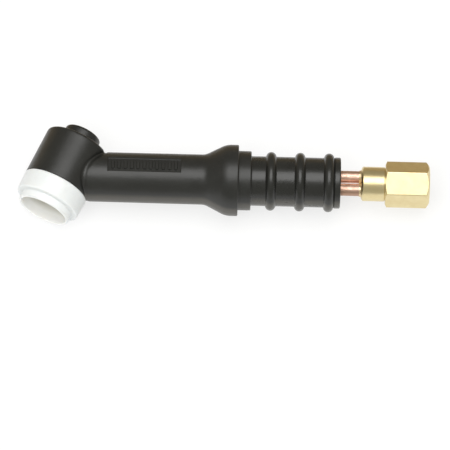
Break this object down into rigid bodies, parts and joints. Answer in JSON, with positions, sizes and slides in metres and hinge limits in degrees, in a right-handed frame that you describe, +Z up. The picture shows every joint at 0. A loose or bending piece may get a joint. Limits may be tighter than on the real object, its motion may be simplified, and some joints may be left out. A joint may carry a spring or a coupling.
{
  "type": "tig torch body",
  "caption": "Angled TIG welding torch body: rubber-covered head and ribbed handle shank, white cup gasket, copper conductors and a brass hexagon rear connector.",
  "frame": {"origin": "centre of the footprint, on the surface that the torch lies on", "axes": "+X along the neck from the head to the rear connector, +Z up; the torch lies on its side, so the head leans in the XY plane with its cap end towards +Y and its nozzle end towards -Y"},
  "size_m": [0.1444, 0.0356, 0.025],
  "materials": {
    "jacket_rubber": "matte moulded",
    "brass": "bright turned",
    "copper": "satin drawn copper",
    "gasket_plastic": "satin white",
    "braze": "dull braze"
  },
  "bodies": {
    "torch_body": {"rubber_jacket": "jacket_rubber", "head_core": "brass", "gas_tube": "copper", "current_rod": "copper", "rear_connector": "brass", "head_braze": "braze", "rear_braze": "braze"},
    "gasket": {"cup_gasket": "gasket_plastic"}
  },
  "joints": [
    {"name": "gasket_pull", "type": "slide", "parent": "torch_body", "child": "gasket", "axis": [-0.4067, -0.9135, 0], "range_m": [0, 0.012]}
  ]
}
